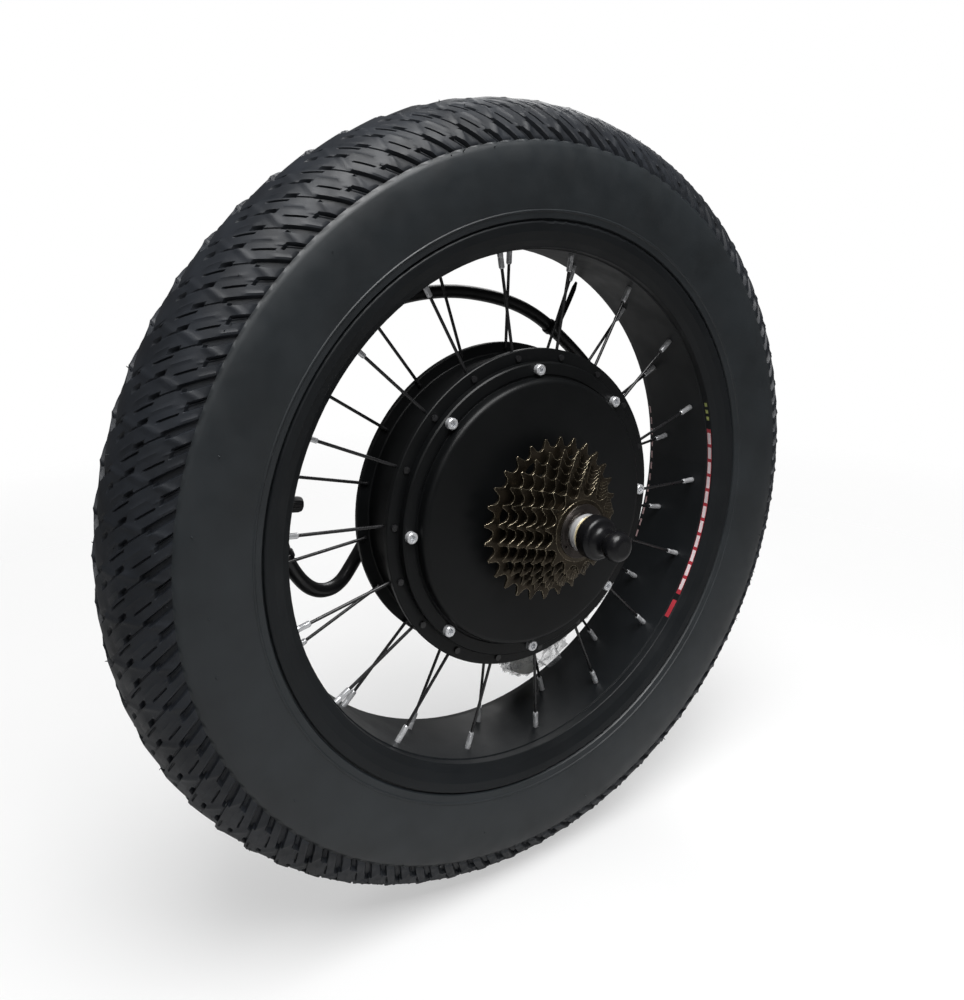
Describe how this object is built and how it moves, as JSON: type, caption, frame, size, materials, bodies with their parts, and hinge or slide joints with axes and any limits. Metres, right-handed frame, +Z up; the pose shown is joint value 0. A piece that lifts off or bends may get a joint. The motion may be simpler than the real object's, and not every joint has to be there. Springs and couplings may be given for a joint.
{
  "type": "hub motor wheel",
  "caption": "Spoked fat-tyre rear wheel with a direct-drive motor in its hub, a multi-speed freewheel on one side and a looped motor cable on the other.",
  "frame": {"origin": "centre of the wheel: on the axle's line, midway between the dropout faces and in the rim's middle plane", "axes": "+Y along the axle, away from the chain side; +X forwards, the way the bicycle rides; +Z up"},
  "size_m": [0.589, 0.2602, 0.589],
  "materials": {
    "tyre_rubber": "satin charcoal rubber",
    "soft_rubber": "matt black rubber",
    "rim_black": "satin black powder coat",
    "hub_black": "satin black paint on cast aluminium",
    "spoke_black": "semi-gloss black",
    "bright_steel": "bright zinc plate",
    "lock_washer_zinc": "yellow zinc plate",
    "axle_steel": "turned steel",
    "bearing_steel": "ground bearing steel",
    "freewheel_steel": "brown oxide finish, oiled",
    "dark_steel": "dark hardened steel",
    "black_plastic": "moulded black plastic",
    "valve_brass": "turned brass",
    "rotor_iron": "turned iron",
    "magnet_nickel": "nickel plate",
    "lamination": "stacked steel sheet",
    "copper_wire": "enamelled copper wire",
    "spider_alloy": "cast aluminium",
    "circuit_board": "solder-resist green",
    "lead_insulation": "flexible insulation",
    "cable_jacket": "smooth black jacket",
    "white_sleeve": "translucent white sleeve",
    "contact_brass": "plated brass",
    "clear_film": "crumpled clear film"
  },
  "bodies": {
    "stator": {"axle": "axle_steel", "axle_key": "axle_steel", "stator_core": "lamination", "stator_windings": "copper_wire", "stator_spider": "spider_alloy", "hall_sensor_board": "circuit_board", "phase_leads": "lead_insulation", "drive_bearing_inner_ring": "bearing_steel", "brake_bearing_inner_ring": "bearing_steel", "axle_spacers": "axle_steel", "axle_washers": "bright_steel", "lock_washers": "lock_washer_zinc", "axle_nuts": "bright_steel", "axle_end_cap": "black_plastic", "motor_cable": "cable_jacket", "cable_grommet": "soft_rubber", "cable_ties": "black_plastic", "power_connector": "white_sleeve", "power_contact": "contact_brass", "sensor_plug": "black_plastic", "connector_leads": "lead_insulation", "connector_wrap": "clear_film"},
    "wheel": {"hub_shell": "hub_black", "rotor_ring": "rotor_iron", "rotor_magnets": "magnet_nickel", "drive_cover": "hub_black", "brake_cover": "hub_black", "cover_gaskets": "soft_rubber", "cover_screws": "bright_steel", "drive_bearing_outer_ring": "bearing_steel", "brake_bearing_outer_ring": "bearing_steel", "shaft_seals": "soft_rubber", "rim": "rim_black", "rim_strip": "soft_rubber", "drive_spokes": "spoke_black", "brake_spokes": "spoke_black", "spoke_nipples": "bright_steel", "inner_tube": "soft_rubber", "tyre": "tyre_rubber", "valve_stem": "valve_brass", "valve_nut": "bright_steel", "valve_cap": "black_plastic", "freewheel_inner_body": "dark_steel", "freewheel_end_ring": "dark_steel", "pawl_spring": "dark_steel"},
    "drive_bearing_set": {"drive_bearing_balls": "bearing_steel", "drive_bearing_cage": "bearing_steel"},
    "brake_bearing_set": {"brake_bearing_balls": "bearing_steel", "brake_bearing_cage": "bearing_steel"},
    "freewheel": {"freewheel_outer_body": "freewheel_steel", "cog_28": "freewheel_steel", "cog_24": "freewheel_steel", "cog_22": "freewheel_steel", "cog_20": "freewheel_steel", "cog_18": "freewheel_steel", "cog_16": "freewheel_steel", "cog_14": "freewheel_steel", "cog_spacers": "freewheel_steel"},
    "pawl_1": {"pawl_1": "dark_steel"},
    "pawl_2": {"pawl_2": "dark_steel"}
  },
  "joints": [
    {"name": "wheel_spin", "type": "hinge", "parent": "stator", "child": "wheel", "pos_m": [0, 0, 0], "axis": [0, 1, 0], "continuous": true},
    {"name": "drive_bearing_roll", "type": "hinge", "parent": "stator", "child": "drive_bearing_set", "pos_m": [0, -0.045, 0], "axis": [0, 1, 0], "continuous": true},
    {"name": "brake_bearing_roll", "type": "hinge", "parent": "stator", "child": "brake_bearing_set", "pos_m": [0, 0.035, 0], "axis": [0, 1, 0], "continuous": true},
    {"name": "freewheel_spin", "type": "hinge", "parent": "wheel", "child": "freewheel", "pos_m": [0, -0.071, 0], "axis": [0, 1, 0], "continuous": true},
    {"name": "pawl_1_swing", "type": "hinge", "parent": "wheel", "child": "pawl_1", "pos_m": [0.0166, -0.071, 0], "axis": [0, -1, 0], "range_deg": [0, 14], "stiffness_Nm_per_rad": 0.02, "springref_deg": -11.46},
    {"name": "pawl_2_swing", "type": "hinge", "parent": "wheel", "child": "pawl_2", "pos_m": [-0.0166, -0.071, 0], "axis": [0, -1, 0], "range_deg": [0, 14], "stiffness_Nm_per_rad": 0.02, "springref_deg": -11.46}
  ],
  "couplings": [
    {"joint": "drive_bearing_roll", "follows": "wheel_spin", "ratio": 0.6024},
    {"joint": "brake_bearing_roll", "follows": "wheel_spin", "ratio": 0.6024}
  ]
}
